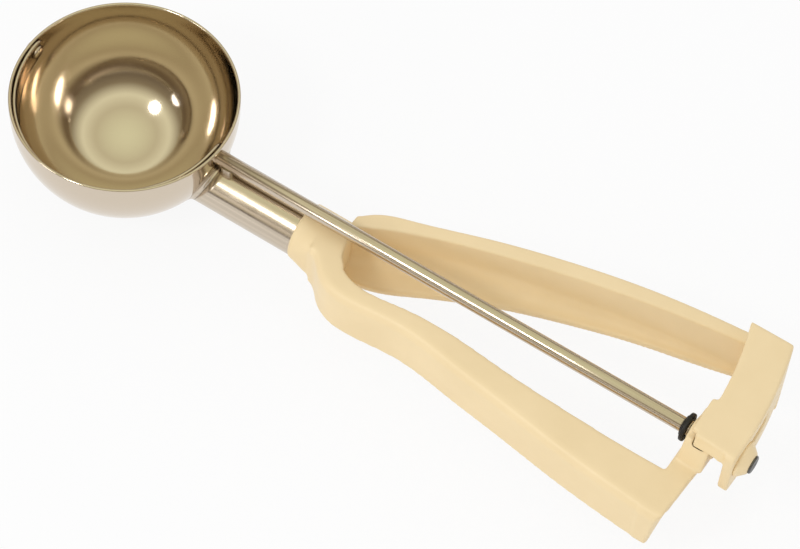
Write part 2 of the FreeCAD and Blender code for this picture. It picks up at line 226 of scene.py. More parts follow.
def along_x(x, low_y, high_y, low_z, high_z):
    """Shell of a bar along X whose box section (low_y..high_y by low_z..high_z) changes with x."""
    x, low_y, high_y, low_z, high_z = np.broadcast_arrays(x, low_y, high_y, low_z, high_z)
    y = np.stack([low_y, high_y, high_y, low_y], axis=1)
    z = np.stack([low_z, low_z, high_z, high_z], axis=1)
    return shell(np.stack([np.repeat(x[:, None], 4, axis=1), y, z], axis=-1))


def section_along_x(x, y, z):
    """Shell of a bar along X from arrays of section corners, one row for each x."""
    return shell(np.stack([np.broadcast_to(x[:, None], y.shape), y, z], axis=-1))


def flat_block(low, high):
    """Shell of a box between two corners."""
    return along_x(np.array([low[0], high[0]], float), low[1], high[1], low[2], high[2])


def curved_block(radii, start, end, low_z, high_z, far_y=None):
    """Shell of a ring sector about the flexing line: (FLEX_X + r cos a, r sin a, z), a from start to
    end in degrees, or to where r sin a reaches far_y."""
    corner_r = np.array([radii[0], radii[1], radii[1], radii[0]], float)
    corner_z = np.array([low_z, low_z, high_z, high_z], float)
    stop = np.degrees(np.arcsin(far_y / corner_r)) if far_y else np.full(4, float(end))
    share = np.linspace(0.0, 1.0, SECTOR_ROWS)[:, None]
    angle = np.radians(start + share * (stop - start))
    grid = np.stack([FLEX_X + corner_r * np.cos(angle), corner_r * np.sin(angle),
                     np.broadcast_to(corner_z, angle.shape)], axis=-1)
    return shell(grid)


def leaning_end(radii):
    """Shell of the rack bar's end wall, which leans outwards from the plate's end towards its foot."""
    r = np.array([radii[0], radii[1]])[:, None]
    angle = np.radians([[-2.75, -2.4, -1.6, -2.15]])
    z = np.array([[2.6, 2.6, 7.0, 7.0]])
    grid = np.stack([FLEX_X + r * np.cos(angle), r * np.sin(angle), np.broadcast_to(z, (2, 4))], axis=-1)
    return shell(grid)


def moulded(name, shells, voxel, rounds):
    """One soft-edged skin round overlapping shells: a voxel remesh, then smoothing rounds."""
    points, faces, caps, base = [], [], [], 0
    for shell_points, shell_faces, shell_caps in shells:
        points.append(shell_points)
        faces.append(shell_faces + base)
        caps += [[corner + base for corner in cap] for cap in shell_caps]
        base += len(shell_points)
    rough = bpy.data.meshes.new(name + "_rough")
    every = np.concatenate(faces).tolist() + caps
    rough.from_pydata(np.concatenate(points).tolist(), [], every)
    work = bmesh.new()
    work.from_mesh(rough)
    bmesh.ops.recalc_face_normals(work, faces=work.faces)
    work.to_mesh(rough)
    work.free()
    lump = bpy.data.objects.new(name + "_rough", rough)
    bpy.context.scene.collection.objects.link(lump)
    remesh = lump.modifiers.new("skin", "REMESH")
    remesh.mode = "VOXEL"
    remesh.voxel_size = voxel
    remesh.use_smooth_shade = True
    soften = lump.modifiers.new("soft edges", "SMOOTH")
    soften.factor = 0.5
    soften.iterations = rounds
    graph = bpy.context.evaluated_depsgraph_get()
    mesh = bpy.data.meshes.new_from_object(lump.evaluated_get(graph))
    bpy.data.objects.remove(lump)
    bpy.data.meshes.remove(rough)
    mesh.transform(Matrix.Scale(MM, 4))
    mesh.shade_smooth()
    mesh.name = name
    return mesh


# Finishes


def new_group(name, inputs, outputs):
    """An empty shader node group with named sockets, and its two end nodes."""
    group = bpy.data.node_groups.new(name, "ShaderNodeTree")
    for socket, kind, value in inputs:
        made = group.interface.new_socket(socket, in_out="INPUT", socket_type=kind)
        if value is not None:
            made.default_value = value
    for socket, kind in outputs:
        group.interface.new_socket(socket, in_out="OUTPUT", socket_type=kind)
    return group, group.nodes.new("NodeGroupInput"), group.nodes.new("NodeGroupOutput")


def node(tree, kind, **values):
    """Add a node and set its values, by attribute or by input name."""
    made = tree.nodes.new(kind)
    for key, value in values.items():
        if hasattr(made, key):
            setattr(made, key, value)
        else:
            made.inputs[key.replace("_", " ")].default_value = value
    return made


def contrast_mask(group, start, end, noise):
    """Spread a noise about its middle: mask = (noise - 0.5) contrast + 0.5, kept between 0 and 1."""
    centre = node(group, "ShaderNodeMath", operation="SUBTRACT")
    centre.inputs[1].default_value = 0.5
    scaled = node(group, "ShaderNodeMath", operation="MULTIPLY")
    back = node(group, "ShaderNodeMath", operation="ADD", use_clamp=True)
    back.inputs[1].default_value = 0.5
    link = group.links.new
    link(noise.outputs["Fac"], centre.inputs[0])
    link(centre.outputs[0], scaled.inputs[0])
    link(start.outputs["Contrast"], scaled.inputs[1])
    link(scaled.outputs[0], back.inputs[0])
    link(back.outputs[0], end.inputs["Mask"])


def cloud_group():
    """Cloudy variation: a soft mask of one noise on object coordinates."""
    group, start, end = new_group("cloudy variation",
                                  [("Size", "NodeSocketFloat", 60.0), ("Contrast", "NodeSocketFloat", 0.5)],
                                  [("Mask", "NodeSocketFloat")])
    place_node = group.nodes.new("ShaderNodeTexCoord")
    broad = node(group, "ShaderNodeTexNoise", Detail=3.0, Roughness=0.55)
    link = group.links.new
    link(place_node.outputs["Object"], broad.inputs["Vector"])
    link(start.outputs["Size"], broad.inputs["Scale"])
    contrast_mask(group, start, end, broad)
    return group


def grain_group():
    """Directional grain: noise stretched along one axis by a scale vector, as a mask."""
    group, start, end = new_group("drawn grain",
                                  [("Stretch", "NodeSocketVector", (20.0, 2500.0, 2500.0)),
                                   ("Contrast", "NodeSocketFloat", 1.0)],
                                  [("Mask", "NodeSocketFloat")])
    place_node = group.nodes.new("ShaderNodeTexCoord")
    scale = node(group, "ShaderNodeVectorMath", operation="MULTIPLY")
    lines = node(group, "ShaderNodeTexNoise", Scale=1.0, Detail=4.0, Roughness=0.6)
    link = group.links.new
    link(place_node.outputs["Object"], scale.inputs[0])
    link(start.outputs["Stretch"], scale.inputs[1])
    link(scale.outputs[0], lines.inputs["Vector"])
    contrast_mask(group, start, end, lines)
    return group


def use_group(tree, group, **values):
    """Place a node group in a material with its own values."""
    made = tree.nodes.new("ShaderNodeGroup")
    made.node_tree = group
    for key, value in values.items():
        made.inputs[key].default_value = value
    return made


def mixed(tree, mask, low, high):
    """A colour between two, by a mask."""
    mix = tree.nodes.new("ShaderNodeMix")
    mix.data_type = "RGBA"
    mix.inputs["A"].default_value = (*low, 1.0)
    mix.inputs["B"].default_value = (*high, 1.0)
    tree.links.new(mask, mix.inputs["Factor"])
    return mix.outputs["Result"]


def ranged(tree, mask, low, high):
    """A number between two, by a mask."""
    span = tree.nodes.new("ShaderNodeMapRange")
    span.inputs["To Min"].default_value = low
    span.inputs["To Max"].default_value = high
    tree.links.new(mask, span.inputs["Value"])
    return span.outputs["Result"]


def bare_material(name):
    """A material with nodes and its shader."""
    material = bpy.data.materials.new(name)
    material.use_nodes = True
    return material, material.node_tree, material.node_tree.nodes["Principled BSDF"]


def bumped(tree, shader, height, strength, distance):
    """Feed the shader's normal from a height."""
    bump = tree.nodes.new("ShaderNodeBump")
    bump.inputs["Strength"].default_value = strength
    bump.inputs["Distance"].default_value = distance
    tree.links.new(height, bump.inputs["Height"])
    tree.links.new(bump.outputs["Normal"], shader.inputs["Normal"])


def plastic_material(name, low, high, roughness, groups):
    """Moulded plastic: faint clouding in the colour, uneven gloss and a fine moulded texture."""
    material, tree, shader = bare_material(name)
    cloud = use_group(tree, groups["cloud"], Size=55.0, Contrast=2.2)
    fine = use_group(tree, groups["cloud"], Size=900.0, Contrast=1.6)
    tree.links.new(mixed(tree, cloud.outputs["Mask"], low, high), shader.inputs["Base Color"])
    tree.links.new(ranged(tree, fine.outputs["Mask"], roughness - 0.05, roughness + 0.07),
                   shader.inputs["Roughness"])
    bumped(tree, shader, fine.outputs["Mask"], 0.12, 0.00006)
    return material


def steel_material(name, low, high, roughness, stretch, grain, groups):
    """Steel: a grain along its working direction, smudges in its gloss and a warm tint, partly the steel's
    own colour and partly a painted warm reflection.
    """
    material, tree, shader = bare_material(name)
    shader.inputs["Metallic"].default_value = 1.0
    lines = use_group(tree, groups["grain"], Stretch=stretch, Contrast=grain)
    smudge = use_group(tree, groups["cloud"], Size=70.0, Contrast=2.5)
    tree.links.new(mixed(tree, lines.outputs["Mask"], low, high), shader.inputs["Base Color"])
    total = tree.nodes.new("ShaderNodeMath")
    total.operation = "ADD"
    tree.links.new(ranged(tree, smudge.outputs["Mask"], roughness * 0.6, roughness * 1.1), total.inputs[0])
    tree.links.new(ranged(tree, lines.outputs["Mask"], 0.0, roughness * 0.5), total.inputs[1])
    tree.links.new(total.outputs[0], shader.inputs["Roughness"])
    bumped(tree, shader, lines.outputs["Mask"], 0.08, 0.00002)
    return material


MATERIALS = {}


def finish(name):
    """The finished material of a slot, made the first time it is asked for."""
    if not MATERIALS:
        colours = bpy.context.scene.scoop_finish
        groups = {"cloud": cloud_group(), "grain": grain_group()}
        ivory = np.array(colours.ivory)
        # Steel tint, partly a painted warm reflection
        steel = np.array(colours.steel)
        MATERIALS["ivory_plastic"] = plastic_material(
            "ivory plastic", tuple(ivory * 0.97), tuple(np.minimum(ivory * (1.02, 1.03, 1.06), 1.0)),
            colours.ivory_roughness, groups)
        MATERIALS["black_plastic"] = plastic_material(
            "black nylon", (0.006, 0.006, 0.006), (0.016, 0.014, 0.012), 0.5, groups)
        MATERIALS["polished_steel"] = steel_material(
            "polished steel", tuple(steel * 0.97), tuple(steel * 1.03), 0.09,
            (300.0, 300.0, 4000.0), 0.5, groups)
        MATERIALS["drawn_steel"] = steel_material(
            "drawn steel", tuple(steel * 0.8), tuple(steel * 1.1), 0.2, (12.0, 1500.0, 1500.0), 1.6, groups)
        MATERIALS["grey_steel"] = steel_material(
            "dull spring steel", (0.10, 0.10, 0.10), (0.2, 0.19, 0.18), 0.35,
            (900.0, 900.0, 900.0), 1.0, groups)
    return MATERIALS[name]


# Sizes and colours that a user may change


class ScoopFinish(bpy.types.PropertyGroup):
    """Colours and gloss of the finishes"""
    ivory: FloatVectorProperty(name="Ivory", description="Colour of the moulded handle", subtype="COLOR",
                               default=(0.92, 0.722, 0.415), min=0.0, max=1.0)
    # Warm tint of the steel, partly its own colour and partly a painted warm reflection that turns its white
    # surroundings tan
    steel: FloatVectorProperty(name="Steel", description="Tint of the polished steel", subtype="COLOR",
                               default=(0.65, 0.56, 0.45), min=0.0, max=1.0)
    ivory_roughness: FloatProperty(name="Ivory roughness", description="How dull the moulded handle is",
                                   default=0.38, min=0.0, max=1.0)


class ScoopDetail(bpy.types.PropertyGroup):
    """How finely the skins are divided"""
    segments: IntProperty(name="Segments", description="Facets round a turned piece", default=96, min=16)
    bowl_segments: IntProperty(name="Bowl segments", description="Facets round the bowl", default=192, min=32)
    voxel: FloatProperty(name="Skin grid", description="Grid of the moulded skins, in millimetres",
                         default=0.42, min=0.2, max=2.0)
    edge_rounds: IntProperty(name="Edge rounds", description="Smoothing rounds over moulded edges",
                             default=7, min=0)


class ScoopStage(bpy.types.PropertyGroup):
    """Floor and light of the studio"""
    floor_size: FloatProperty(name="Floor", description="Width of the floor", default=3.0, unit="LENGTH")
    sky: FloatProperty(name="Sky light", description="Strength of the even light", default=0.80, min=0.0)
    key_power: FloatProperty(name="Key light", description="Power of the main soft light", default=2.1,
                             unit="POWER")
    fill_power: FloatProperty(name="Fill light", description="Power of the weaker soft light", default=1.2,
                              unit="POWER")
    shadow_share: FloatProperty(name="Shadow", description="How much of the shadow the floor shows",
                                default=0.12, min=0.0, max=1.0)


# Pieces


class SCOOP_OT_bowl(bpy.types.Operator):
    """Spun steel bowl with a rounded rim"""
    bl_idname = "scoop.bowl"
    bl_label = "Bowl"

    def execute(self, context):
        inner = BALL_R - SHEET
        outside = arc_points((0.0, 0.0), BALL_R, -90.0, 0.0, 64)
        wall = np.array([[BALL_R, RIM_Z * 0.4], [BALL_R, RIM_Z - 0.9]])
        rim = arc_points((BALL_R - 0.5, RIM_Z - 0.5), 0.5, 0.0, 180.0, 9)
        inside = arc_points((0.0, 0.0), inner, 0.0, -90.0, 64)
        back_wall = np.array([[inner, RIM_Z - 0.9], [inner, RIM_Z * 0.4]])
        profile = np.concatenate([outside, wall, rim, back_wall, inside])
        grid = lathe_z(profile, context.scene.scoop_detail.bowl_segments)
        place("bowl_skin", turned_piece("bowl_skin", grid), finish("polished_steel"), "frame", ["bowl"])
        return {"FINISHED"}


class SCOOP_OT_blade(bpy.types.Operator):
    """Sweeping blade: a strip of a ball with round eyes, and its two rivets"""
    bl_idname = "scoop.blade"
    bl_label = "Ejector blade"

    def execute(self, context):
        steel = finish("polished_steel")
        outer = BALL_R - SHEET - BLADE_GAP
        eye = 3.8
        over = math.asin(eye / outer)
        along = np.concatenate([np.linspace(-over, 0.0, 14), np.linspace(0.0, np.pi, 110)[1:-1],
                                np.linspace(np.pi, np.pi + over, 14)])
        beyond = np.where(along < 0.0, along, np.where(along > np.pi, along - np.pi, 0.0))
        round_end = np.sqrt(np.maximum(eye ** 2 - (outer * np.sin(beyond)) ** 2, 0.0))
        near_end = np.minimum(along, np.pi - along)
        body = eye + (5.5 - eye) * np.clip(near_end / 0.67, 0.0, 1.0) ** 0.8
        width = np.where(beyond != 0.0, round_end, body)
        side = np.linspace(-1.0, 1.0, 13)
        height = width[:, None] * side
        surfaces = []
        for radius, order in ((outer, 1), (outer - BLADE_THICK, -1)):
            edge = 1.0 - 0.12 * (side ** 8)
            reach = np.sqrt(radius ** 2 - height ** 2)
            if order == -1:
                reach = reach + (1.0 - edge)
            surfaces.append(np.stack([-np.cos(along)[:, None] * reach, -np.sin(along)[:, None] * reach,
                                      height], axis=-1)[:, ::order])
        grid = np.concatenate(surfaces, axis=1)
        rest = math.radians(8.0)
        turn = np.array([[1.0, 0.0, 0.0], [0.0, math.cos(rest), -math.sin(rest)],
                         [0.0, math.sin(rest), math.cos(rest)]])
        grid = grid @ turn.T
        mesh = tidy_normals(mesh_from("blade_skin", grid, ring_faces(*grid.shape[:2])))
        place("blade_skin", mesh, steel, "ejector", ["ejector_blade"])
        segments = context.scene.scoop_detail.segments
        inside = BALL_R - SHEET - BLADE_GAP - BLADE_THICK - 0.3
        dome = arc_points((inside, 0.0), 1.0, 90.0, 180.0, 8) * (1.0, 2.4)
        profile = np.concatenate([[[inside + 0.2, 0.0], [inside + 0.2, 2.4]], dome])
        place("blade_end_rivet_skin", turned_piece("blade_end_rivet_skin", lathe_x(profile, segments)),
              steel, "ejector", ["blade_end_rivet"])
        head = [(-BALL_R - 1.15, 0.0), (-BALL_R - 1.1, 1.2), (-BALL_R - 0.85, 2.1), (-BALL_R - 0.4, 2.65),
                (-BALL_R + 0.25, 2.8), (-BALL_R + 0.3, PIN_R), (-inside, PIN_R), (-inside, 2.4),
                (-inside + 0.45, 2.25), (-inside + 0.8, 1.5), (-inside + 0.9, 0.0)]
        place("blade_pivot_rivet_skin", turned_piece("blade_pivot_rivet_skin", lathe_x(head, segments)),
              steel, "frame", ["blade_pivot_rivet"])
        return {"FINISHED"}


class SCOOP_OT_shank(bpy.types.Operator):
    """Shank tube coped to the bowl, with its ring of brazing"""
    bl_idname = "scoop.shank"
    bl_label = "Shank"

    def execute(self, context):
        steel = finish("drawn_steel")
        angle = np.linspace(0.0, 2.0 * np.pi, 128, endpoint=False)
        rows = []
        for radius, order in ((TUBE_R, 1), (TUBE_R - TUBE_WALL, -1)):
            y = radius * np.cos(angle)
            z = TUBE_Z + radius * np.sin(angle)
            start = np.sqrt((BALL_R - 0.15) ** 2 - y ** 2 - z ** 2)
            share = np.linspace(0.0, 1.0, 12)[::order, None]
            x = start + share * (TUBE_END_X - start)
            rows.append(np.stack([x, np.broadcast_to(y, x.shape), np.broadcast_to(z, x.shape)], axis=-1))
        grid = np.concatenate(rows)
        mesh = tidy_normals(mesh_from("shank_skin", grid, ring_faces(*grid.shape[:2], True)))
        place("shank_skin", mesh, steel, "frame", ["shank_tube"])

        def on_ball(radius, ball):
            y = radius * np.cos(angle)
            z = TUBE_Z + radius * np.sin(angle)
            return np.stack([np.sqrt(ball ** 2 - y ** 2 - z ** 2), y, z], axis=-1)

        foot = on_ball(TUBE_R + 0.02, BALL_R)
        on_tube = foot + (1.3, 0.0, 0.0)
        out_on_ball = on_ball(TUBE_R + 1.2, BALL_R + 0.02)
        share = np.linspace(0.0, 1.0, 7)[:, None, None]
        swell = (1 - share) ** 2 * on_tube + 2 * share * (1 - share) * foot + share ** 2 * out_on_ball
        grid = np.concatenate([swell, on_ball(TUBE_R - 0.4, BALL_R - 0.3)[None]])
        mesh = tidy_normals(mesh_from("braze_skin", grid, ring_faces(*grid.shape[:2], True)))
        place("braze_skin", mesh, steel, "frame", ["shank_braze"])
        return {"FINISHED"}


class SCOOP_OT_rod(bpy.types.Operator):
    """Rod, thrust washer, end cap and retaining ring, all turned about the rod's axis"""
    bl_idname = "scoop.rod"
    bl_label = "Rod and turned pieces"

    def execute(self, context):
        segments = context.scene.scoop_detail.segments
        stub_in = BALL_R - SHEET - BLADE_GAP - BLADE_THICK - 0.3
        stub_out = BALL_R - SHEET - BLADE_GAP + 0.15
        rod = [(stub_in, 0.0), (stub_in, PIN_R), (stub_out, PIN_R), (stub_out, ROD_R - 0.2),
               (stub_out + 0.2, ROD_R), (100.0, ROD_R), (160.0, ROD_R), (ROD_END_X - 0.9, ROD_R),
               (ROD_END_X - 0.6, ROD_R - 0.4), (ROD_END_X - 0.5, 0.0)]
        washer = [(198.2, ROD_R - 0.1), (198.2, 3.1), (198.4, 3.3), (198.75, 3.3), (198.75, 4.2),
                  (198.9, 4.45), (199.3, 4.55), (199.8, 4.55), (200.1, 4.4), (200.2, 4.1),
                  (200.2, ROD_R - 0.1)]
        start = 217.85
        cap = [(start, ROD_R - 0.1), (start, 5.6), (start + 0.15, 5.7), (start + 0.6, 5.65),
               (start + 1.0, 5.4), (220.6, 3.75), (221.0, 3.3), (221.15, 2.9), (221.15, ROD_R - 0.1)]
        ring = [(221.1, 2.0), (221.1, 2.9), (221.6, 2.9), (221.85, 2.6), (221.9, 2.2), (221.6, 1.2),
                (221.55, 0.0)]
        for name, profile, closed, nodes, slot in (
                ("rod_skin", rod, False, ["ejector_rod"], "drawn_steel"),
                ("thrust_washer_skin", washer, True, ["thrust_washer"], "black_plastic"),
                ("end_cap_skin", cap, True, ["rod_end_cap"], "ivory_plastic"),
                ("retaining_ring_skin", ring, False, ["retaining_ring"], "grey_steel")):
            mesh = turned_piece(name, lathe_x(profile, segments), closed)
            place(name, mesh, finish(slot), "ejector", nodes)
        return {"FINISHED"}


PALM_OUTER = [(70.0, -9.2), (76.0, -10.4), (80.5, -14.6), (86.5, -18.0), (98.0, -18.6), (112.0, -17.6),
              (130.0, -19.8), (150.0, -22.6), (170.0, -25.6), (190.0, -27.8), (207.0, -29.1)]
PALM_INNER = [(82.0, -6.0), (88.0, -10.4), (96.0, -12.2), (107.6, -11.0), (126.8, -10.4), (146.8, -12.1),
              (164.5, -13.0), (185.0, -13.6), (203.0, -13.4)]
FINGER_OUTER = [(79.8, 8.8), (83.6, 12.3), (94.7, 17.0), (116.6, 24.6), (137.6, 30.8), (165.3, 37.0),
                (182.0, 39.4), (206.0, 41.6)]
FINGER_INNER = [(79.3, 3.6), (82.4, 5.4), (92.0, 10.3), (104.3, 15.3), (128.2, 22.8), (155.5, 29.6),
                (182.0, 34.4), (206.0, 37.3)]
FINGER_LIP = [(79.3, -3.0), (84.2, -3.4), (92.0, -2.2), (105.8, 4.4), (114.5, 8.8), (130.2, 15.8),
              (145.4, 21.2), (169.1, 28.2), (188.0, 32.4), (206.0, 37.0)]


def squared_collar(x):
    """Collar round the tube that squares off towards the palm arm: y = a cos^(2/n), z = b sin^(2/n)
    about the tube's axis, with n growing from 2 along x on the palm side only."""
    angle = np.linspace(0.0, 2.0 * np.pi, 72, endpoint=False)
    share = np.clip((x - 67.0) / 9.0, 0.0, 1.0)[:, None]
    palm_side = np.clip(-np.cos(angle), 0.0, 1.0) ** 0.5
    power = 2.0 / (2.0 + 5.0 * share ** 1.5 * palm_side)
    lip = 0.35 * np.clip(1.0 - (x - 66.0) / 0.6, 0.0, 1.0)[:, None]
    y = (9.4 - lip) * np.sign(np.cos(angle)) * np.abs(np.cos(angle)) ** power
    z = TUBE_Z + (9.2 - lip) * np.sign(np.sin(angle)) * np.abs(np.sin(angle)) ** power
    return np.stack([np.broadcast_to(x[:, None], y.shape), y, z], axis=-1)


class SCOOP_OT_handle(bpy.types.Operator):
    """Fixed half of the handle: collar, hub, palm arm, end bracket and pinion box"""
    bl_idname = "scoop.handle"
    bl_label = "Handle and palm arm"

    def execute(self, context):
        detail = context.scene.scoop_detail
        shells = []
        shells.append(shell(squared_collar(np.linspace(66.0, 79.0, 27))))
        x = np.linspace(74.0, 80.0, 7)
        shells.append(along_x(x, np.full(7, -9.0), np.full(7, 4.4), ARM_BOTTOM, ARM_TOP))
        hub_y = np.linspace(-9.0, 4.6, 12)
        rear = np.interp(hub_y, [-9.0, -6.0, -2.0, 2.0, 4.6], [86.5, 83.6, 82.4, 81.4, 80.6])
        grid = np.stack([np.stack([np.full(12, 78.0), rear, rear, np.full(12, 78.0)], axis=1),
                         np.repeat(hub_y[:, None], 4, axis=1),
                         np.broadcast_to([ARM_BOTTOM, ARM_BOTTOM, ARM_TOP, ARM_TOP], (12, 4))], axis=-1)
        shells.append(shell(grid))
        x = np.linspace(74.0, 203.0, 120)
        outer = height_over(PALM_OUTER, x)
        inner = np.where(x < 83.0, -5.5, height_over(PALM_INNER, np.maximum(x, 83.0)))
        web = np.where(x < 95.0, inner, outer + WEB_THICK)
        web = np.minimum(web, inner)
        corner = np.radians(np.linspace(180.0, 90.0, 7))
        y = [outer, outer]
        z = [np.full(120, ARM_BOTTOM), np.full(120, ARM_TOP - CREASE)]
        for step in corner[1:]:
            y.append(outer + CREASE + CREASE * np.cos(step))
            z.append(np.full(120, ARM_TOP - CREASE + CREASE * np.sin(step)))
        y += [inner, inner, web, web]
        z += [np.full(120, ARM_TOP), np.full(120, ARM_TOP - 3.0), np.full(120, ARM_TOP - 3.0),
              np.full(120, ARM_BOTTOM)]
        shells.append(section_along_x(x, np.stack(y, axis=1), np.stack(z, axis=1)))
        # End bracket: a channel open below, with a shallow rear wall that leans inwards
        end_y = np.array([-29.0, -27.2, -14.0, 7.4])
        end_x = np.array([206.2, 207.7, 208.3, 209.6])

        def along_y(first_x, last_x, low_y, high_y, low_z, high_z, lean=(0.0, 0.0), round_over=0.0):
            rows = 14
            y_at = np.linspace(low_y, high_y, rows)
            last = np.interp(y_at, end_y, end_x) if last_x is None else np.full(rows, last_x)
            foot = last - np.linspace(lean[0], lean[1], rows)
            over = np.clip((low_y + round_over - y_at) / max(round_over, 0.01), 0.0, 1.0)
            top = high_z - round_over * (1.0 - np.sqrt(1.0 - over ** 2))
            first, base = np.full(rows, first_x), np.full(rows, low_z)
            corners = np.stack([first, foot, last, first], axis=1)
            heights = np.stack([base, base, top, top], axis=1)
            return shell(np.stack([corners, np.repeat(y_at[:, None], 4, axis=1), heights], axis=-1))

        shells.append(along_y(200.5, None, -28.9, -24.0, ARM_BOTTOM, ARM_TOP, (1.6, 4.6), CREASE))
        shells.append(along_y(200.5, None, -24.0, 7.4, ARM_TOP - 3.0, ARM_TOP - 1.9, (0.4, 0.4)))
        shells.append(along_y(200.5, 202.6, -24.0, 7.4, ARM_BOTTOM, ARM_TOP))
        shells.append(along_y(204.0, None, -24.0, -8.0, ARM_TOP - 6.0, ARM_TOP, (2.2, 2.2)))
        shells.append(along_y(206.0, None, -9.0, 7.4, ARM_TOP - 4.0, ARM_TOP, (1.4, 1.4)))
        shells.append(along_y(202.0, 206.5, -24.0, -6.1, ARM_TOP - 3.0, ARM_TOP))
        shells.append(along_y(202.0, 207.0, -9.0, 7.4, ARM_TOP - 6.0, ARM_TOP - 2.0, (1.5, 1.5)))
        box_y = np.array([-8.8, -8.8, -5.6, -4.6, 7.4, 7.4])
        box_z = np.array([ARM_TOP - 1.0, ARM_TOP, 2.4, 3.4, 3.4, ARM_TOP - 1.0])
        for low, high in ((201.2, 203.8), (208.0, 209.6)):
            shells.append(section_along_x(np.array([low, high]), np.tile(box_y, (2, 1)),
                                          np.tile(box_z, (2, 1))))
        side_y = np.array([-9.0, -9.0, -5.7, -5.1])
        side_z = np.array([ARM_TOP - 1.0, ARM_TOP, 2.6, ARM_TOP - 1.0])
        shells.append(section_along_x(np.array([203.0, 209.0]), np.tile(side_y, (2, 1)),
                                      np.tile(side_z, (2, 1))))
        shells.append(flat_block((203.0, 5.9, ARM_TOP - 1.0), (209.0, 7.4, 3.4)))
        shells.append(shell(lathe_x([(201.0, 4.6), (203.8, 4.6)], 48)))
        shells.append(shell(lathe_x([(208.0, 4.6), (210.4, 4.6)], 48)))
        mesh = moulded("handle_skin", shells, detail.voxel, detail.edge_rounds)
        place("handle_skin", mesh, finish("ivory_plastic"), "frame", ["handle_body"])
        return {"FINISHED"}


class SCOOP_OT_finger_arm(bpy.types.Operator):
    """Finger arm, set in place on no body, though the real one bends at its root as it is squeezed"""
    bl_idname = "scoop.finger_arm"
    bl_label = "Finger arm"

    def execute(self, context):
        detail = context.scene.scoop_detail
        count = 120
        x = np.linspace(79.4, 203.6, count)
        outer = height_over(FINGER_OUTER, np.maximum(x, 79.8))
        inner = height_over(FINGER_INNER, x)
        lip = np.minimum(height_over(FINGER_LIP, x), inner - 0.3)
        hollow = np.minimum(6.5, (inner - lip) * 0.8)
        low = ARM_BOTTOM + 2.6
        curve = np.radians(np.linspace(0.0, -90.0, 8))
        y = [outer, outer, outer - 0.6, inner + 0.3, inner]
        z = [np.full(count, ARM_BOTTOM), np.full(count, ARM_TOP - 0.6), np.full(count, ARM_TOP),
             np.full(count, ARM_TOP), np.full(count, ARM_TOP - 0.4)]
        for step in curve:
            y.append(inner - hollow + hollow * np.cos(step))
            z.append(low + hollow + hollow * np.sin(step))
        y += [lip, lip]
        z += [np.full(count, low), np.full(count, ARM_BOTTOM)]
        shells = [section_along_x(x, np.stack(y, axis=1), np.stack(z, axis=1))]
        mesh = moulded("finger_arm_skin", shells, detail.voxel, detail.edge_rounds)
        piece = place("finger_arm_skin", mesh, finish("ivory_plastic"), None, ["squeeze_arm"])
        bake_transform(piece)
        return {"FINISHED"}


class SCOOP_OT_rack_bar(bpy.types.Operator):
    """Arched rack bar with its tab, end wall, slotted rear wall and corner"""
    bl_idname = "scoop.rack_bar"
    bl_label = "Rack bar"

    def execute(self, context):
        detail = context.scene.scoop_detail
        bar, wall = BAR_RADII, BAR_WALL_RADII
        slot_low = -math.degrees((ROD_R + SLOT_GAP) / wall[0])
        slot_high = SQUEEZE_DEG - slot_low
        half = ROD_R + 0.55
        far, outer = BAR_FAR_Y, BAR_CORNER_Y
        shells = [
            curved_block(bar, -2.3, 16.0, 6.0, 7.5, far),
            curved_block((124.2, 126.6), -1.6, 4.0, 5.0, 7.5),
            leaning_end(bar),
            curved_block(wall, -2.7, 16.0, -10.5, -half, far),
            curved_block(wall, -2.7, 16.0, half, 6.6, far),
            curved_block(wall, -2.7, slot_low, -half - 1.0, half + 1.0),
            curved_block(wall, slot_high, 16.0, -half - 1.0, half + 1.0, far),
            curved_block(bar, 13.2, 16.0, ARM_TOP - 1.0, 6.6, far),
            curved_block(bar, 13.2, 16.0, ARM_BOTTOM, ARM_TOP, outer),
        ]
        mesh = moulded("rack_bar_skin", shells, detail.voxel * 0.9, detail.edge_rounds * 3)
        place("rack_bar_skin", mesh, finish("ivory_plastic"), "squeeze", ["rack_bar"])
        return {"FINISHED"}


class SCOOP_OT_gearing(bpy.types.Operator):
    """Finishes for the pieces whose solids show as they are: pinion, crown rack and saddle"""
    bl_idname = "scoop.gearing"
    bl_label = "Gearing finishes"

    def execute(self, context):
        for name, slot in (("pinion", "black_plastic"), ("crown_rack", "ivory_plastic"),
                           ("rod_saddle", "drawn_steel")):
            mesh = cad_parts[name].data
            mesh.materials.clear()
            mesh.materials.append(finish(slot))
        return {"FINISHED"}


def direct_view(tree):
    """A mask that is 1 for what the camera sees straight, in a mirror or through glass, and 0 for light."""
    path = node(tree, "ShaderNodeLightPath")
    seen = node(tree, "ShaderNodeMath", operation="MAXIMUM")
    every = node(tree, "ShaderNodeMath", operation="MAXIMUM")
    link = tree.links.new
    link(path.outputs["Is Camera Ray"], seen.inputs[0])
    link(path.outputs["Is Glossy Ray"], seen.inputs[1])
    link(seen.outputs[0], every.inputs[0])
    link(path.outputs["Is Transmission Ray"], every.inputs[1])
    return every


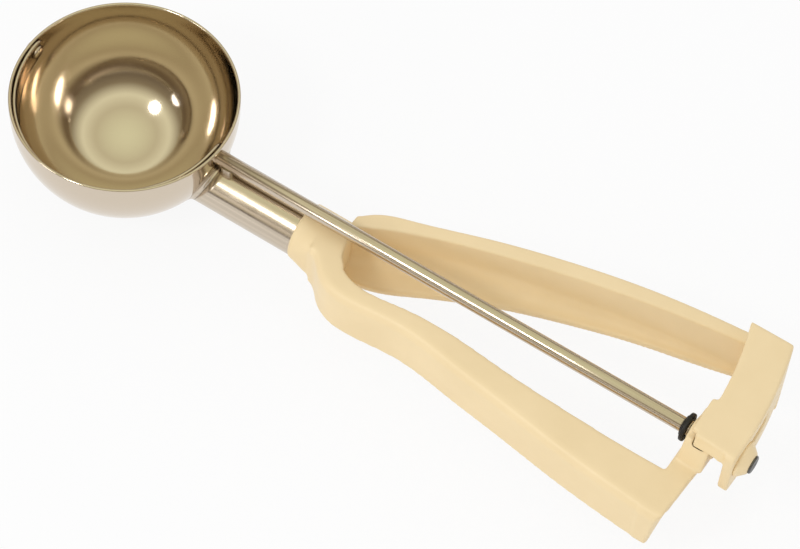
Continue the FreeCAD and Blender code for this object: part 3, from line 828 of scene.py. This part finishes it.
class SCOOP_OT_stage(bpy.types.Operator):
    """Plain pale floor, soft lights, a glowing dome of painted reflections and the camera"""
    bl_idname = "scoop.stage"
    bl_label = "Studio"

    def execute(self, context):
        stage = context.scene.scoop_stage
        half = stage.floor_size / 2.0
        level = CAD_BOX[0].z - 0.0005
        points = np.array([[-half, -half, level], [half, -half, level], [half, half, level],
                           [-half, half, level]]) / MM
        floor = bpy.data.objects.new("floor", mesh_from("floor", points, np.array([[0, 1, 2, 3]])))
        context.scene.collection.objects.link(floor)
        material, tree, shader = bare_material("pale floor")
        shader.inputs["Base Color"].default_value = (0.9, 0.9, 0.9, 1.0)
        shader.inputs["Roughness"].default_value = 0.9
        glow = tree.nodes.new("ShaderNodeEmission")
        every = direct_view(tree)
        share = tree.nodes.new("ShaderNodeMath")
        share.operation = "MULTIPLY"
        share.inputs[1].default_value = 1.0 - stage.shadow_share
        mix = tree.nodes.new("ShaderNodeMixShader")
        link = tree.links.new
        link(every.outputs[0], share.inputs[0])
        link(share.outputs[0], mix.inputs["Fac"])
        link(shader.outputs[0], mix.inputs[1])
        link(glow.outputs[0], mix.inputs[2])
        link(mix.outputs[0], tree.nodes["Material Output"].inputs["Surface"])
        floor.data.materials.append(material)

        # A glowing dome, seen only in reflections, whose dark and bright bands are painted reflections for
        # the steel
        context.scene.collection.objects.link(painted_reflection_dome(REFLECTION_DOME_RADIUS))

        world = bpy.data.worlds.new("studio")
        context.scene.world = world
        world.use_nodes = True
        tree = world.node_tree
        even = tree.nodes["Background"]
        even.inputs["Strength"].default_value = stage.sky
        white = tree.nodes.new("ShaderNodeBackground")
        white.inputs["Color"].default_value = (1.0, 1.0, 1.0, 1.0)
        even.inputs["Color"].default_value = (1.0, 1.0, 1.0, 1.0)
        every = direct_view(tree)
        mix = tree.nodes.new("ShaderNodeMixShader")
        link = tree.links.new
        link(every.outputs[0], mix.inputs["Fac"])
        link(even.outputs[0], mix.inputs[1])
        link(white.outputs[0], mix.inputs[2])
        link(mix.outputs[0], tree.nodes["World Output"].inputs["Surface"])

        for name, spot, size, power in (("key light", (-0.20, -0.76, 0.90), 0.24, stage.key_power),
                                        ("fill light", (-0.56, -0.94, 0.48), 0.3, stage.fill_power)):
            lamp = bpy.data.lights.new(name, "AREA")
            lamp.shape = "DISK"
            lamp.size = size
            lamp.energy = power
            holder = bpy.data.objects.new(name, lamp)
            context.scene.collection.objects.link(holder)
            holder.location = spot
            aim = Vector((0.09, 0.0, 0.0)) - Vector(spot)
            holder.rotation_euler = aim.to_track_quat("-Z", "Y").to_euler()

        lens = bpy.data.cameras.new("camera")
        lens.lens = 3283.0 / 800.0 * 36.0
        lens.sensor_width = 36.0
        camera = bpy.data.objects.new("camera", lens)
        context.scene.collection.objects.link(camera)
        camera.matrix_world = camera_place()
        context.scene.camera = camera
        context.scene.view_settings.view_transform = "Standard"
        return {"FINISHED"}


def painted_reflection_dome(radius):
    """Glowing half ball seen only in the object's gloss, whose bands paint reflections of a room: r (cos e
    cos a, cos e sin a, sin e).
    """
    rise = np.linspace(-0.04, 1.0, 40)[:, None] * np.pi / 2.0
    round_it = np.linspace(0.0, 2.0 * np.pi, 96, endpoint=False)
    grid = radius / MM * np.stack([np.cos(rise) * np.cos(round_it), np.cos(rise) * np.sin(round_it),
                                   np.broadcast_to(np.sin(rise), (40, 96))], axis=-1)
    tent = bpy.data.objects.new("painted_reflection_dome", mesh_from("painted_reflection_dome", grid, ring_faces(40, 96)))
    material, tree, shader = bare_material("painted reflections")
    tree.nodes.remove(shader)
    place_node = tree.nodes.new("ShaderNodeTexCoord")
    split = tree.nodes.new("ShaderNodeSeparateXYZ")
    height = tree.nodes.new("ShaderNodeMath")
    height.operation = "DIVIDE"
    height.inputs[1].default_value = radius
    # Painted reflections: bands of glowing colour by height, dark low down, bright and olive higher up
    bands = tree.nodes.new("ShaderNodeValToRGB")
    for index, (spot, colour) in enumerate(PAINTED_REFLECTION_BANDS):
        element = bands.color_ramp.elements[index] if index < 2 else bands.color_ramp.elements.new(spot)
        element.position = spot
        element.color = (*colour, 1.0)
    glow = tree.nodes.new("ShaderNodeEmission")
    clear = tree.nodes.new("ShaderNodeBsdfTransparent")
    path = tree.nodes.new("ShaderNodeLightPath")
    mix = tree.nodes.new("ShaderNodeMixShader")
    link = tree.links.new
    link(place_node.outputs["Object"], split.inputs[0])
    link(split.outputs["Z"], height.inputs[0])
    link(height.outputs[0], bands.inputs["Fac"])
    link(bands.outputs["Color"], glow.inputs["Color"])
    link(path.outputs["Is Glossy Ray"], mix.inputs["Fac"])
    link(clear.outputs[0], mix.inputs[1])
    link(glow.outputs[0], mix.inputs[2])
    link(mix.outputs[0], tree.nodes["Material Output"].inputs["Surface"])
    tent.data.materials.append(material)
    return tent


# Heights and colours of the painted reflection bands on the dome
PAINTED_REFLECTION_BANDS = ((0.0, (0.07, 0.05, 0.035)), (1.0, (0.95, 0.97, 0.70)), (0.09, (0.10, 0.075, 0.05)),
              (0.14, (0.85, 0.78, 0.62)), (0.30, (1.0, 0.95, 0.85)), (0.40, (0.20, 0.16, 0.11)),
              (0.55, (0.32, 0.27, 0.18)), (0.72, (1.0, 1.0, 0.76)), (0.86, (0.75, 0.72, 0.52)))


def camera_place():
    """Camera matrix fitted to the photograph: 1 m away, 57.6 degrees up, 28.7 degrees round."""
    distance, elevation, azimuth, roll = 1.0, math.radians(57.56), math.radians(28.71), math.radians(5.23)
    back = Vector((math.sin(azimuth) * math.cos(elevation), -math.cos(azimuth) * math.cos(elevation),
                   math.sin(elevation)))
    right = Vector((math.cos(azimuth), math.sin(azimuth), 0.0))
    up = back.cross(right)
    across = right * math.cos(roll) + up * math.sin(roll)
    upward = -right * math.sin(roll) + up * math.cos(roll)
    pixels = 3283.0
    offset_x = (124.9 - 400.0) / pixels
    offset_y = -(102.36 - 274.5) / pixels
    matrix = Matrix((across, upward, back)).transposed().to_4x4()
    matrix.translation = -(across * offset_x + upward * offset_y) + back * distance
    return matrix


class SCOOP_PT_panel(bpy.types.Panel):
    """Lists the scoop's sizes, finishes and pieces"""
    bl_idname = "SCOOP_PT_panel"
    bl_label = "Ice cream scoop"
    bl_space_type = "VIEW_3D"
    bl_region_type = "UI"
    bl_category = "Scoop"

    def draw(self, context):
        for group in (context.scene.scoop_finish, context.scene.scoop_detail, context.scene.scoop_stage):
            for name in group.bl_rna.properties.keys():
                if name not in {"rna_type", "name"}:
                    self.layout.prop(group, name)
        for operator in OPERATORS:
            self.layout.operator(operator.bl_idname)


OPERATORS = (SCOOP_OT_bowl, SCOOP_OT_blade, SCOOP_OT_shank, SCOOP_OT_rod, SCOOP_OT_handle,
             SCOOP_OT_finger_arm, SCOOP_OT_rack_bar, SCOOP_OT_gearing, SCOOP_OT_stage)
CLASSES = (ScoopFinish, ScoopDetail, ScoopStage, *OPERATORS, SCOOP_PT_panel)


def register():
    for made in CLASSES:
        bpy.utils.register_class(made)
    bpy.types.Scene.scoop_finish = PointerProperty(type=ScoopFinish)
    bpy.types.Scene.scoop_detail = PointerProperty(type=ScoopDetail)
    bpy.types.Scene.scoop_stage = PointerProperty(type=ScoopStage)


def unregister():
    del bpy.types.Scene.scoop_stage
    del bpy.types.Scene.scoop_detail
    del bpy.types.Scene.scoop_finish
    for made in reversed(CLASSES):
        bpy.utils.unregister_class(made)


def main():
    """Register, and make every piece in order."""
    register()
    bpy.ops.scoop.bowl()
    bpy.ops.scoop.blade()
    bpy.ops.scoop.shank()
    bpy.ops.scoop.rod()
    bpy.ops.scoop.handle()
    bpy.ops.scoop.finger_arm()
    bpy.ops.scoop.rack_bar()
    bpy.ops.scoop.gearing()
    bpy.ops.scoop.stage()


if __name__ == "__main__":
    main()
